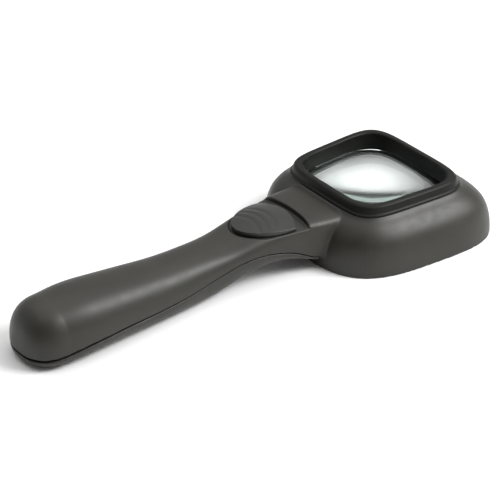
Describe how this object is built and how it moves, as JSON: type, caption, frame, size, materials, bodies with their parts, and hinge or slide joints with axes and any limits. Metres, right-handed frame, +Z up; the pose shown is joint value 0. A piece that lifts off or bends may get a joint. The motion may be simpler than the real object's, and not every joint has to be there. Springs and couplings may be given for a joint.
{
  "type": "illuminated stand magnifier",
  "caption": "Hand magnifier with a square hood that stands on the page, a rectangular glass lens, a slide switch on the neck and a battery grip.",
  "frame": {"origin": "middle of the overall length and width, on the surface that the hood stands on", "axes": "+X from the butt of the grip to the front of the hood, +Z up out of the lens, +Y completes the right hand"},
  "size_m": [0.2028, 0.078, 0.025],
  "materials": {
    "shell": "satin fine-textured charcoal moulding",
    "bezel": "satin",
    "button": "satin",
    "lens": "polished, aqua at the edge",
    "inner_plastic": "matt",
    "steel": "nickel plated",
    "brass": "stamped strip",
    "cell_sleeve": "plain printed sleeve",
    "led": "clear moulded lamp",
    "board": "glass-fibre board",
    "resistor": "lacquered",
    "window": "clear moulding",
    "wire": "insulated wire"
  },
  "bodies": {
    "grip": {"upper_shell": "shell", "lens_bezel": "bezel", "lens": "lens", "lens_retainer": "inner_plastic", "retainer_screws": "steel", "switch_base": "inner_plastic", "switch_base_screws": "steel", "switch_contact_rear": "brass", "switch_contact_front": "brass", "detent_spring": "steel", "battery_tray": "inner_plastic", "tray_screws": "steel", "cell_front_can": "steel", "cell_front_sleeve": "cell_sleeve", "cell_front_cap": "steel", "cell_rear_can": "steel", "cell_rear_sleeve": "cell_sleeve", "cell_rear_cap": "steel", "contact_spring": "steel", "rear_contact": "brass", "front_contact": "brass", "return_strip": "brass", "led": "led", "led_leads": "steel", "led_board": "board", "resistor": "resistor", "led_holder": "inner_plastic", "light_window": "window", "wire_battery": "wire", "wire_lamp": "wire", "wire_return": "wire"},
    "cover": {"battery_cover": "shell"},
    "switch": {"switch_button": "button", "switch_carrier": "inner_plastic", "carrier_screw": "steel", "switch_wiper": "brass"}
  },
  "joints": [
    {"name": "switch_slide", "type": "slide", "parent": "grip", "child": "switch", "axis": [1, 0, 0], "range_m": [0, 0.0026]},
    {"name": "cover_swing", "type": "hinge", "parent": "grip", "child": "cover", "pos_m": [0.0239, 0, 0.00395], "axis": [0, -1, 0], "range_deg": [0, 20]}
  ]
}
